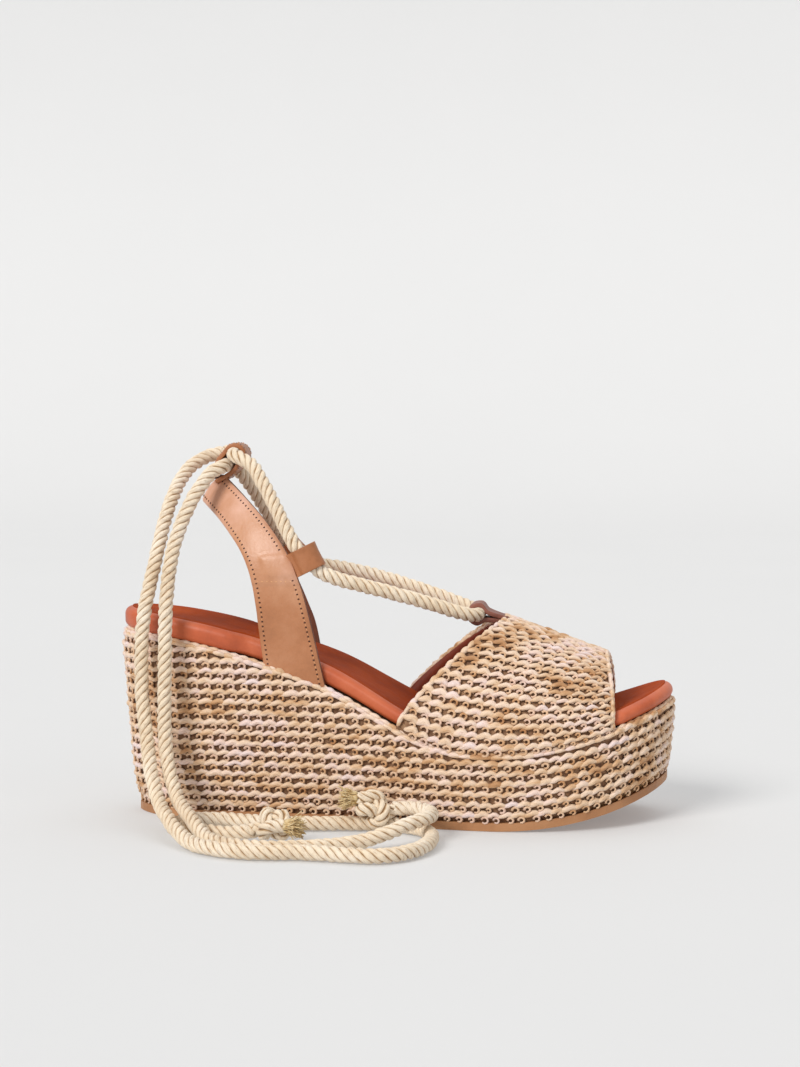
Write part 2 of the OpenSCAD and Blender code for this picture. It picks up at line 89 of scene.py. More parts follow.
def chain(points, steps, closed=False):
    """Catmull-Rom curve through points, with this many steps to each span."""
    p = np.asarray(points, float)
    n = len(p)
    spans = n if closed else n - 1
    u = np.arange(spans * steps + (0 if closed else 1)) / steps
    i = np.minimum(u.astype(int), spans - 1)
    t = (u - i)[:, None]

    def at(k):
        return p[k % n] if closed else p[np.clip(k, 0, n - 1)]

    a, b, c, d = at(i - 1), at(i), at(i + 1), at(i + 2)
    return 0.5 * (2 * b + (c - a) * t + (2 * a - 5 * b + 4 * c - d) * t ** 2
                  + (3 * b - a - 3 * c + d) * t ** 3)


def arc(points):
    """Length along a line up to each of its points."""
    return np.concatenate([[0], np.cumsum(np.linalg.norm(np.diff(points, axis=0), axis=1))])


def at_length(s, length, values):
    """Values, one row per point of a line, read at the lengths s."""
    return np.stack([np.interp(s, length, column) for column in values.T], axis=-1)


def evenly(points, step):
    """The same line with its points about one step apart."""
    length = arc(points)
    count = max(2, int(round(length[-1] / step)) + 1)
    return at_length(np.linspace(0, length[-1], count), length, points)


# ---- the sandal's own surfaces, as in the part's design ----

OUTER_SIDE = [[-125.5, 0], [-121, -14], [-109, -24], [-90, -28.5], [-60, -30.5], [-30, -33],
              [0, -38], [25, -42.5], [50, -45], [75, -43], [97, -35.5], [113, -22], [122, -7]]
INNER_SIDE = [[125.5, 8], [122.5, 22], [113, 33], [97, 40], [75, 43.8], [48, 44.8], [18, 41],
              [-12, 34.5], [-42, 29.5], [-72, 28.5], [-98, 26], [-116, 17]]
RIM = [[-126, 84], [-112, 82.4], [-98, 80.4], [-78, 76.5], [-54, 69.6], [-27, 60], [0, 45.5],
       [12, 39.5], [24, 35.7], [38, 34.1], [54, 34.5], [72, 36.7], [90, 41.1], [108, 47], [126, 53.5]]
WALL_LEVELS = [0, 0.08, 0.3, 0.6, 0.9, 1]
WALL_INSETS = [4, 2.6, 1.6, 0.8, 0, 0.5]
OUTSOLE_T = 3.6
TOE_SPRING = 18
SPRING_START, TOE_X = 45, 125.5

PLAN_STEPS = 30

plan = chain(OUTER_SIDE + INNER_SIDE, PLAN_STEPS, closed=True)
plan_tangent = unit(np.roll(plan, -1, 0) - np.roll(plan, 1, 0))
plan_inward = np.stack([-plan_tangent[:, 1], plan_tangent[:, 0]], axis=1)
toe_index = len(OUTER_SIDE) * PLAN_STEPS
outer_table = plan[:toe_index + 1]
inner_table = np.vstack([plan[toe_index:], plan[:1]])[::-1]
rim_table = chain(RIM, 6)


def y_outer(x):
    return np.interp(x, outer_table[:, 0], outer_table[:, 1])


def y_inner(x):
    return np.interp(x, inner_table[:, 0], inner_table[:, 1])


def rim_z(x):
    return np.interp(x, rim_table[:, 0], rim_table[:, 1])


def bottom_z(x):
    return TOE_SPRING * (np.maximum(x - SPRING_START, 0) / (TOE_X - SPRING_START)) ** 2


def wall_inset(x, level):
    return np.interp(level, WALL_LEVELS, WALL_INSETS) * (1 + 1.3 * smooth(-90, -122, x))


def wall_line(z, depth):
    """Line round the wedge's side at the heights z, one for each plan point."""
    x = plan[:, 0]
    low = bottom_z(x) + OUTSOLE_T
    level = (z - low) / (rim_z(x) - low)
    xy = plan + plan_inward * (wall_inset(x, level) + depth)[:, None]
    return np.column_stack([xy, z])


def footbed_z(x):
    return rim_z(x) + 9.4 - 2.8 * smooth(-60, 60, x)


def footbed_inset(x):
    return 1 + 3.2 * smooth(-74, -64, x) * (1 - smooth(98, 104, x))


def vamp_rear(a):
    corner = np.where(a < PI / 2, 3.0, -1.0)
    return corner + (49 - corner) * np.sin(a) ** 1.15


def vamp_front(a):
    return 98.5 - 3 * np.sin(a) ** 3


def vamp_point(x, a, depth):
    """Point of the vamp's arch at x, a from the outer (0) to the inner side (pi)."""
    low = rim_z(x) + 0.1
    y0, y1 = y_outer(x) + depth, y_inner(x) - depth
    rise = 90 - (x - 49) * 0.36 - low - depth
    s = np.sin(a)
    y = (y0 + y1) / 2 - np.cos(a) * (y1 - y0) / 2 + 4 * s
    return np.stack([x, y, low + rise * np.maximum(s, 0) ** 0.88], axis=-1)


def vamp_normal(x, a):
    e = 0.02
    inside = np.clip(a, e, PI - e)
    across = vamp_point(x, inside + e, 0) - vamp_point(x, inside - e, 0)
    ahead = vamp_point(x + 1, inside, 0) - vamp_point(x - 1, inside, 0)
    return unit(np.cross(ahead, across))


# ---- meshes ----

def new_mesh(name, vertices, faces, material, attributes=None):
    """Mesh object in metres from points in millimetres."""
    data = bpy.data.meshes.new(name)
    data.from_pydata((np.asarray(vertices) * MM).tolist(), [], [list(f) for f in faces])
    for key, values in (attributes or {}).items():
        kind = "FLOAT" if np.ndim(values) == 1 else "FLOAT_VECTOR"
        field = "value" if kind == "FLOAT" else "vector"
        layer = data.attributes.new(key, kind, "POINT")
        layer.data.foreach_set(field, np.asarray(values, np.float32).ravel())
    data.polygons.foreach_set("use_smooth", [True] * len(data.polygons))
    data.materials.append(material)
    piece = bpy.data.objects.new(name, data)
    bpy.context.scene.collection.objects.link(piece)
    return piece


def grid_faces(rows, cols, start=0, wrap_cols=False, flip=False):
    """Quads of a grid of points, rows by cols."""
    i, j = np.meshgrid(np.arange(rows - 1), np.arange(cols if wrap_cols else cols - 1), indexing="ij")
    i2, j2 = i + 1, (j + 1) % cols
    quads = np.stack([i * cols + j, i * cols + j2, i2 * cols + j2, i2 * cols + j], -1).reshape(-1, 4)
    return (quads[:, ::-1] if flip else quads) + start


STRAND_SHIFT = 7.3  # shifts the fibre pattern from one strand to the next


def strands(centre, side, lift, width, height, sides):
    """Many strands at once: centre, side and lift are (strand, ring, 3), and width and height
    the half sizes along side and lift. Gives points, faces and a lay coordinate for fibres."""
    count, rings = width.shape
    turn = np.arange(sides) * 2 * PI / sides
    cos, sin = np.cos(turn), np.sin(turn)
    offset = ((side * width[..., None])[:, :, None] * cos[:, None]
              + (lift * height[..., None])[:, :, None] * sin[:, None])
    points = (centre[:, :, None] + offset).reshape(-1, 3)
    quads = grid_faces(rings, sides, wrap_cols=True)
    steps = np.arange(count) * rings * sides
    faces = (quads[None] + steps[:, None, None]).reshape(-1, 4).tolist()
    first = np.arange(sides)[::-1]
    last = np.arange(sides) + (rings - 1) * sides
    for start in steps:
        faces.append((first + start).tolist())
        faces.append((last + start).tolist())
    run = np.zeros((count, rings))
    run[:, 1:] = np.cumsum(np.linalg.norm(np.diff(centre, axis=1), axis=2), axis=1)
    run += np.arange(count)[:, None] * STRAND_SHIFT
    lay = np.stack([np.broadcast_to(cos, (count, rings, sides)),
                    np.broadcast_to(sin, (count, rings, sides)),
                    np.broadcast_to(run[..., None], (count, rings, sides))], -1).reshape(-1, 3)
    return points, faces, lay


def soften_edges(piece, width):
    """Bevels the piece's edges for good."""
    modifier = piece.modifiers.new("soft_edges", "BEVEL")
    modifier.width = width * MM
    modifier.segments = 2
    modifier.limit_method = "ANGLE"
    modifier.angle_limit = math.radians(40)
    graph = bpy.context.evaluated_depsgraph_get()
    mesh = bpy.data.meshes.new_from_object(piece.evaluated_get(graph))
    piece.modifiers.clear()
    piece.data = mesh


# ---- materials ----

class Shader:
    """A material's node tree, with short calls for the nodes used here."""

    def __init__(self, name, **settings):
        self.material = bpy.data.materials.new(name)
        self.material.use_nodes = True
        self.tree = self.material.node_tree
        self.surface = self.tree.nodes["Principled BSDF"]
        for key, value in settings.items():
            self.surface.inputs[key.replace("_", " ")].default_value = value

    def node(self, kind, inputs=None, **settings):
        node = self.tree.nodes.new("ShaderNode" + kind)
        for key, value in settings.items():
            setattr(node, key, value)
        for key, value in (inputs or {}).items():
            if isinstance(value, bpy.types.NodeSocket):
                self.tree.links.new(value, node.inputs[key])
            else:
                node.inputs[key].default_value = value
        return node

    def link(self, output, name):
        self.tree.links.new(output, self.surface.inputs[name])

    def place(self, scale=(1, 1, 1)):
        """Object coordinates in millimetres, stretched by scale."""
        source = self.node("TexCoord").outputs["Object"]
        factor = [1000 * s for s in scale]
        return self.node("VectorMath", {0: source, 1: factor}, operation="MULTIPLY").outputs[0]

    def attribute(self, name, scale=None):
        """A mesh attribute: its value, or with a scale its vector times the scale."""
        node = self.node("Attribute", attribute_name=name)
        if scale is None:
            return node.outputs["Fac"]
        return self.node("VectorMath", {0: node.outputs["Vector"], 1: scale},
                         operation="MULTIPLY").outputs[0]

    def noise(self, vector, scale, detail=3, roughness=0.55):
        return self.node("TexNoise", {"Vector": vector, "Scale": scale, "Detail": detail,
                                      "Roughness": roughness}).outputs["Fac"]

    def cells(self, vector, scale):
        return self.node("TexVoronoi", {"Vector": vector, "Scale": scale}).outputs["Distance"]

    def math(self, kind, a, b):
        return self.node("Math", {0: a, 1: b}, operation=kind).outputs[0]

    def span(self, value, low, high, to_low, to_high):
        return self.node("MapRange", {"Value": value, "From Min": low, "From Max": high,
                                      "To Min": to_low, "To Max": to_high}).outputs[0]

    def ramp(self, value, stops):
        node = self.node("ValToRGB", {"Fac": value})
        elements = node.color_ramp.elements
        while len(elements) < len(stops):
            elements.new(0.5)
        for element, (at, colour) in zip(elements, stops):
            element.position = at
            element.color = rgb(colour)
        return node.outputs["Color"]

    def mix(self, factor, a, b, kind="MIX"):
        node = self.node("Mix", data_type="RGBA", blend_type=kind)
        for key, value in ((0, factor), (6, a), (7, b)):
            if isinstance(value, bpy.types.NodeSocket):
                self.tree.links.new(value, node.inputs[key])
            else:
                node.inputs[key].default_value = value
        return node.outputs[2]

    def bump(self, height, strength, distance, normal=None):
        inputs = {"Height": height, "Strength": strength, "Distance": distance * MM}
        if normal is not None:
            inputs["Normal"] = normal
        return self.node("Bump", inputs).outputs[0]


def rgb(code):
    """Linear colour from a hex code."""
    values = [int(code[i:i + 2], 16) / 255 for i in (1, 3, 5)]
    return [v / 12.92 if v <= 0.04045 else ((v + 0.055) / 1.055) ** 2.4 for v in values] + [1]


def raffia(name, shade=None):
    """Fibrous raffia in cream, lilac and tan patches. Shade is a colour that darkens it, as painted
    shade.
    """
    s = Shader(name, Roughness=0.55, Specular_IOR_Level=0.35, Sheen_Weight=0.12)
    patch = s.noise(s.place((0.5, 0.5, 1.6)), 0.055, 2, 0.6)
    second = s.noise(s.place((0.7, 0.7, 2.2)), 0.16, 2, 0.5)
    tint = s.attribute("tint")
    value = s.math("ADD", s.span(patch, 0.3, 0.7, 0.0, 0.62), s.span(tint, 0, 1, -0.10, 0.34))
    value = s.math("ADD", value, s.span(second, 0.3, 0.7, -0.12, 0.14))
    colour = s.ramp(value, [(0.0, "#B8895E"), (0.14, "#D0A67C"), (0.32, "#E2C3A3"),
                            (0.52, "#EBD2BC"), (0.72, "#EBD1C5"), (0.9, "#E9D6D3")])
    lay = s.attribute("lay", (2.6, 2.6, 0.22))
    fibre = s.noise(lay, 1.6, 3, 0.6)
    streak = s.ramp(fibre, [(0.3, "#C6AE94"), (0.5, "#FFFFFF"), (0.75, "#F6F0EA")])
    colour = s.mix(0.55, colour, streak, "MULTIPLY")
    if shade:
        colour = s.mix(1.0, colour, rgb(shade), "MULTIPLY")
    s.link(colour, "Base Color")
    s.link(s.bump(fibre, 0.55, 0.35), "Normal")
    return s.material


def weave_ground_shade():
    """The bottom of the hollows between stitches, painted dark as shade."""
    s = Shader("weave_ground_shade", Roughness=0.85)
    tone = s.noise(s.place(), 0.55, 3)
    s.link(s.ramp(tone, [(0.35, "#73513A"), (0.55, "#967154"), (0.75, "#B38E6C")]), "Base Color")
    s.link(s.bump(s.noise(s.place(), 1.8, 2), 0.6, 0.5), "Normal")
    return s.material


def leather(name, stops, roughness, grain=0.35, crease=0.25, coat=0.0, painted_highlight=0.0, gloss=0.45):
    """Leather with cloudy tone, pores and soft creases. It can be lightened with height, a painted
    highlight on its upper part.
    """
    s = Shader(name, Coat_Weight=coat, Coat_Roughness=0.35, Specular_IOR_Level=gloss)
    place = s.place()
    cloud = s.noise(place, 0.035, 5, 0.6)
    fine = s.noise(place, 0.35, 4, 0.65)
    tone = s.math("ADD", s.span(cloud, 0.25, 0.75, 0, 0.8), s.span(fine, 0.2, 0.8, 0, 0.2))
    # Painted highlight: the tone rises with height, from 85 to 138 mm
    if painted_highlight:
        height = s.node("SeparateXYZ", {0: place}).outputs["Z"]
        tone = s.math("ADD", s.math("MULTIPLY", tone, 0.6), s.span(height, 85, 138, 0, painted_highlight))
    colour = s.ramp(tone, stops)
    s.link(colour, "Base Color")
    pores = s.cells(place, 1.5)
    wrinkle = s.noise(s.place((1, 1, 0.45)), 0.16, 5, 0.7)
    s.link(s.span(fine, 0.25, 0.75, roughness - 0.07, roughness + 0.09), "Roughness")
    rough = s.bump(pores, grain, 0.12)
    s.link(s.bump(wrinkle, crease, 0.9, rough), "Normal")
    return s.material


def rope_material():
    """Twisted cotton and hemp yarn: fibres along the lay, painted shade in the grooves."""
    s = Shader("rope", Roughness=0.85, Sheen_Weight=0.25, Specular_IOR_Level=0.25)
    yarn = s.noise(s.attribute("lay", (2.4, 2.4, 0.35)), 1.5, 4, 0.62)
    patch = s.noise(s.place(), 0.05, 3)
    colour = s.ramp(patch, [(0.3, "#E2CDB0"), (0.5, "#EDDCC3"), (0.7, "#F4E8D6")])
    streak = s.ramp(yarn, [(0.28, "#A98868"), (0.48, "#FFFFFF"), (0.8, "#FFF8EE")])
    colour = s.mix(0.6, colour, streak, "MULTIPLY")
    # Painted shade: darker deep in the grooves between the strands
    groove_shade = s.ramp(s.attribute("groove_shade"), [(0.0, "#82623F"), (0.4, "#C7AA84"), (0.8, "#FFFFFF")])
    s.link(s.mix(1.0, colour, groove_shade, "MULTIPLY"), "Base Color")
    s.link(s.bump(yarn, 0.75, 0.5), "Normal")
    return s.material


def fray_material():
    """Loose yellowish fibre ends."""
    s = Shader("fray", Roughness=0.9, Sheen_Weight=0.3)
    tone = s.noise(s.place(), 0.5, 3)
    s.link(s.ramp(tone, [(0.3, "#B08A4A"), (0.55, "#D8BE8C"), (0.8, "#EBDDBD")]), "Base Color")
    s.link(s.bump(s.noise(s.attribute("lay", (2, 2, 0.3)), 2, 2), 0.5, 0.2), "Normal")
    return s.material


def outsole_material():
    """Smooth tan sole with a fine grain."""
    s = Shader("outsole_tan", Specular_IOR_Level=0.4)
    place = s.place()
    tone = s.noise(place, 0.05, 4)
    s.link(s.ramp(tone, [(0.3, "#9C6A44"), (0.55, "#AE7C54"), (0.8, "#BA8A62")]), "Base Color")
    s.link(s.span(s.noise(place, 0.4, 3), 0.3, 0.7, 0.42, 0.6), "Roughness")
    s.link(s.bump(s.noise(place, 1.4, 4, 0.7), 0.25, 0.25), "Normal")
    return s.material


def inner_material(name, stops, scale):
    """For pieces that the outer layers hide: cork, board, felt and foam."""
    s = Shader(name, Roughness=0.9)
    tone = s.cells(s.place(), scale)
    s.link(s.ramp(tone, stops), "Base Color")
    s.link(s.bump(tone, 0.5, 0.4), "Normal")
    return s.material


raffia_light = raffia("raffia")
# The curls hang in the hollows under the lobes and get a slightly darker copy, painted shade
raffia_curls_shaded = raffia("raffia_curls", "#F6EADC")
# Dark ground under the stitches: painted shade in the hollows
ground = weave_ground_shade()
# The tan leather gets a painted highlight: lighter and pinker higher up the strap, towards its top stop
tan = leather("tan_leather",
              [(0.1, "#9A623C"), (0.35, "#B4774F"), (0.6, "#C48C68"), (0.95, "#DDAE98")],
              0.38, crease=0.45, coat=0.2, painted_highlight=0.5)
rust = leather("rust_leather", [(0.15, "#A44A28"), (0.5, "#BE5C36"), (0.85, "#CB6C45")],
               0.45, grain=0.25, crease=0.12)
# Rougher, duller copy of the rust leather for the footbed's top; its darker colour is painted shade on
# the top
rust_top_shaded = leather("rust_footbed_top_shaded", [(0.15, "#84300A"), (0.5, "#9C3D10"), (0.85, "#AB4818")],
                   0.7, grain=0.3, crease=0.15, gloss=0.06)
dark_lining = leather("dark_lining", [(0.2, "#6E2C18"), (0.55, "#86381F"), (0.9, "#974528")], 0.6)
strap_lining = leather("strap_lining", [(0.2, "#5E3322"), (0.55, "#7A4630"), (0.9, "#8C563C")], 0.65)
brown = leather("brown_leather", [(0.2, "#6E3F34"), (0.55, "#8A5546"), (0.9, "#A06A58")], 0.5,
                crease=0.5)
loop_tan = leather("loop_leather", [(0.2, "#94592F"), (0.55, "#AC6E46"), (0.9, "#BD7F58")],
                   0.42, coat=0.12)
# Stitch holes: dark marks that are painted shade in the needle holes
hole_shade = leather("stitch_hole", [(0.2, "#3A2014"), (0.9, "#553022")], 0.8)
thread = leather("thread", [(0.2, "#C98F5E"), (0.9, "#E0B184")], 0.7)
rope_look = rope_material()
fray_look = fray_material()


# ---- ropes and knots ----

ROPE_D = 6.5
OUTER_LOOP = np.array([-35.9, -34, 117.6])
INNER_LOOP = np.array([-51.5, 34.5, 117])
SIDE_LOOP_DIR = unit(np.array([1.0, 0, -1.0]))
HEEL_LOOP = np.array([-75, 0, 160])
HEEL_TILT = math.radians(51)
LANE = np.array([math.cos(HEEL_TILT), 0, math.sin(HEEL_TILT)]) * ROPE_D / 2
VAMP_LOOP = np.array([37, 2, 91])

half_loop = SIDE_LOOP_DIR * 7
lane_end = np.array([0, 9.5, 0])

# Centrelines of the lace's two halves, from the vamp loop to the stopper knots

OUTER_ROUTE = [
    VAMP_LOOP, [37, -5.5, 91], [34, -11, 91.3], [27, -15, 93.5], [15, -19.5, 97.6],
    [3, -24, 101.3], [-9, -28, 104.8], [-18.5, -31, 107.4], [-26, -33.2, 109.9],
    OUTER_LOOP + half_loop, OUTER_LOOP - half_loop, [-44.3, -32.3, 128], [-48.6, -29, 135.3],
    [-53, -25, 142.8], [-58, -20.5, 150.5], [-64, -15.5, 158.2], HEEL_LOOP + LANE - lane_end,
    HEEL_LOOP + LANE + lane_end, [-78, 14.5, 163.5], [-85, 16, 162.5], [-92, 13, 160],
    [-97, 7, 155.5], [-100, -1, 149], [-102, -10, 140.5], [-103.5, -17.5, 131],
    [-105, -24, 119.5], [-107, -28.5, 107], [-109, -32, 95], [-110, -34, 82], [-110, -35, 69],
    [-109.5, -36.5, 56], [-107.5, -39.5, 44], [-105.5, -43.5, 34.5], [-103, -49.5, 26],
    [-99.5, -56.5, 18.5], [-95.5, -64.5, 13], [-91, -73, 10], [-85, -82.5, 6.5],
    [-77.5, -92.5, 3.6], [-68, -102, 3.4], [-56, -108, 3.4], [-44, -109.5, 3.4],
    [-30, -108, 3.4], [-16, -109.5, 3.4], [-2, -112, 3.4], [8, -110, 3.4], [16, -102, 3.4],
    [21, -90, 3.4], [22.5, -77, 3.4], [21, -65, 3.4], [15, -54.5, 3.4], [5, -48, 3.4],
    [-8, -46, 3.4], [-22, -47, 3.4], [-36, -49, 3.4], [-50, -49, 3.4], [-63, -45.5, 3.4],
    [-75, -43, 3.4], [-85, -46, 3.4], [-90, -55, 3.4], [-86, -64, 3.4], [-76, -69.5, 3.4],
    [-64, -73, 3.4], [-52, -76, 5.5]]

INNER_ROUTE = [
    VAMP_LOOP, [37, 9.5, 91], [34, 15, 91.6], [26, 19, 94.3], [14, 21.5, 98.3], [-2, 25.3, 103],
    [-18, 29.5, 106.8], [-31, 32.6, 109], [-40, 33.8, 110.2], INNER_LOOP + half_loop,
    INNER_LOOP - half_loop, [-60.5, 33, 127.5], [-65, 29, 136], [-69.5, 23.5, 145],
    [-74, 16.5, 153], HEEL_LOOP - LANE + lane_end, HEEL_LOOP - LANE - lane_end,
    [-81.5, -15, 155], [-86, -19, 149], [-90, -22.5, 141.5], [-94, -26.5, 131], [-97, -30, 119],
    [-98.5, -33, 105.5], [-99, -35.5, 92], [-99, -37, 78], [-99, -38, 64], [-99, -39, 51],
    [-98.5, -40.5, 40], [-97, -43.5, 30.5], [-94, -48.5, 21.5], [-89.5, -56, 14],
    [-84.5, -65, 11], [-79, -74, 8], [-72.5, -84, 4.2], [-64.5, -93, 3.4], [-54, -99, 3.4],
    [-42, -101, 3.4], [-29, -98.5, 3.4], [-17, -93.5, 3.4], [-6, -88, 4.2], [3, -84, 6.4],
    [11, -78.5, 9], [18, -71, 10.5], [21, -62, 10.6], [19, -52.5, 10.6], [12, -46.5, 10.6],
    [3.5, -47.5, 10.4]]


def carried_frames(points):
    """Two sides at right angles to a line, along it, with no twist of their own."""
    tangent = unit(np.gradient(points, axis=0))
    side = np.zeros_like(points)
    side[0] = unit(np.cross(tangent[0], [0.3, 0.5, 0.81]))
    for i in range(1, len(points)):
        side[i] = unit(side[i - 1] - tangent[i] * (side[i - 1] @ tangent[i]))
    return side, np.cross(tangent, side)


ROPE_STRANDS = 4
ROPE_LAY = 15.5  # length of one full turn of a strand
ROPE_STEP = 0.9
STRAND_SIDES = 10


def rope_mesh(name, line, diameter):
    """Twisted rope of four strands along a line. Gives the piece and its centreline."""
    points = evenly(line, ROPE_STEP)
    side, lift = carried_frames(points)
    length = arc(points)
    r = diameter / 2
    strand_r = r * 0.43
    core = r - strand_r
    centre, wide, high, widths = [], [], [], []
    for k in range(ROPE_STRANDS):
        angle = 2 * PI * (length / ROPE_LAY + k / ROPE_STRANDS)
        out = side * np.cos(angle)[:, None] + lift * np.sin(angle)[:, None]
        wobble = 1 + 0.05 * np.sin(length * 0.9 + k * 2) + 0.03 * np.sin(length * 2.3 + k)
        run = points + out * (core * wobble)[:, None]
        heading = unit(np.gradient(run, axis=0))
        centre.append(run)
        high.append(out)
        wide.append(unit(np.cross(heading, out)))
        widths.append(strand_r * (1 + 0.06 * np.sin(length * 1.7 + k * 1.3)))
    centre, wide, high = np.array(centre), np.array(wide), np.array(high)
    widths = np.array(widths)
    vertices, faces, lay = strands(centre, wide, high, widths * 0.98, widths, STRAND_SIDES)
    # How far each point is out of the grooves, from 0 to 1, for the painted shade in them
    nearest = np.repeat(np.tile(points, (ROPE_STRANDS, 1)), STRAND_SIDES, axis=0)
    reach = np.linalg.norm(vertices - nearest, axis=1) / r
    groove_shade = np.clip((reach - 0.6) / 0.38, 0, 1)
    piece = new_mesh(name, vertices, faces, rope_look, attributes={"lay": lay, "groove_shade": groove_shade})
    return piece, points


KNOT_SIZE = 2.05
KNOT_REACH = 8.4  # from the route's end to the knot's middle
KNOT_LOW = 8.6  # least height of the knot's middle, at which it rests on the floor


def tied_knot(name, route, tilt):
    """Overhand knot past a route's end, with a frayed end. Gives the two pieces."""
    line = chain(route, 8)
    last = line[-1]
    ahead = unit((line[-1] - line[-4]) * [1, 1, 0])
    left = np.array([-ahead[1], ahead[0], 0])
    up = np.array([0, 0, 1.0])
    turned_left = left * math.cos(tilt) + up * math.sin(tilt)
    turned_up = up * math.cos(tilt) - left * math.sin(tilt)
    # A trefoil that is left open where the rope comes in and goes out
    t = np.linspace(0.42, 2 * PI - 0.42, 60)
    knot = np.stack([np.cos(t) - 2 * np.cos(2 * t), np.sin(t) + 2 * np.sin(2 * t),
                     -1.45 * np.sin(3 * t)], axis=1) * KNOT_SIZE
    middle = np.array([last[0], last[1], max(last[2], KNOT_LOW)]) + ahead * KNOT_REACH
    body = (middle + knot[:, :1] * ahead * -0.9 + knot[:, 1:2] * turned_left
            + knot[:, 2:] * turned_up)
    lead_in = [last - ahead * 1.0 + (middle - last) * [0, 0, 0.1]]
    way_out = [body[-1] + ahead * 3.0, body[-1] + ahead * 6.5]
    full = chain(np.vstack([lead_in, body[::5], way_out]), 8)
    tied, points = rope_mesh(name, full, ROPE_D * 0.94)
    return tied, fray(name + "_fray", points[-1], unit(points[-1] - points[-4]), 170, 8)


def fray(name, start, ahead, count, length):
    """Loose fibres that fan out from a rope's end."""
    q = np.linspace(0, 1, 6)
    side = unit(np.cross(ahead, [0.2, 0.1, 1]))
    lift = np.cross(side, ahead)
    angle = rng.uniform(0, 2 * PI, count)
    radius = np.sqrt(rng.uniform(0, 1, count)) * ROPE_D * 0.42
    spread = rng.uniform(0.1, 0.5, count) * (0.4 + radius / ROPE_D * 1.6)
    reach = length * rng.uniform(0.45, 1.0, count)
    out = side * np.cos(angle)[:, None] + lift * np.sin(angle)[:, None]
    curl = rng.normal(0, 0.9, (count, 3))
    centre = (start + out[:, None] * radius[:, None, None]
              + ahead * (reach[:, None] * q)[..., None]
              + out[:, None] * (spread[:, None] * reach[:, None] * q ** 1.6)[..., None]
              + curl[:, None] * (q ** 2)[:, None])
    centre[..., 2] = np.maximum(centre[..., 2], 0.5)
    heading = unit(np.gradient(centre, axis=1))
    wide = unit(np.cross(heading, np.array([0.1, 0.3, 1.0])))
    width = rng.uniform(0.34, 0.55, count)[:, None] * (1 - 0.55 * q)
    vertices, faces, lay = strands(centre, wide, np.cross(wide, heading), width, width, 5)
    return new_mesh(name, vertices, faces, fray_look, attributes={"lay": lay})


def add_ropes():
    rope_1, path_1 = rope_mesh("lace_outer", chain(OUTER_ROUTE, 8), ROPE_D)
    rope_2, path_2 = rope_mesh("lace_inner", chain(INNER_ROUTE, 8), ROPE_D)
    knot_1, fray_1 = tied_knot("stopper_outer", OUTER_ROUTE, 0.5)
    knot_2, fray_2 = tied_knot("stopper_inner", INNER_ROUTE, -0.7)
    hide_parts("rope_outer")
    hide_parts("rope_inner")
    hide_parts("knot_outer")
    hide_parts("knot_inner")
    for piece in (knot_1, knot_2, fray_1, fray_2):
        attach(piece, "shoe")
    # The lace's two halves stay in world space, with their transforms baked into their meshes
    for piece in (rope_1, rope_2):
        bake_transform(piece)


# ---- woven raffia ----

class Stitch:
    """Sizes of one kind of stitch. It has one lobe per period, which reaches under the next one,
    rises in its middle and is width by thick, half sizes, and a curl that hangs below it."""

    def __init__(self, period, reach, rise, width, thick, curl_r=0, curl_drop=0):
        self.period, self.reach, self.rise = period, reach, rise
        self.width, self.thick = width, thick
        self.curl_r, self.curl_drop = curl_r, curl_drop


WALL_STITCH = Stitch(5.5, 8.4, 1.7, 1.2, 1.0, 1.2, 2.1)
VAMP_STITCH = Stitch(5.3, 7.8, 1.45, 1.05, 0.95, 1.0, 1.75)
EDGE_STITCH = Stitch(4.6, 6.6, 0.4, 1.1, 1.0)


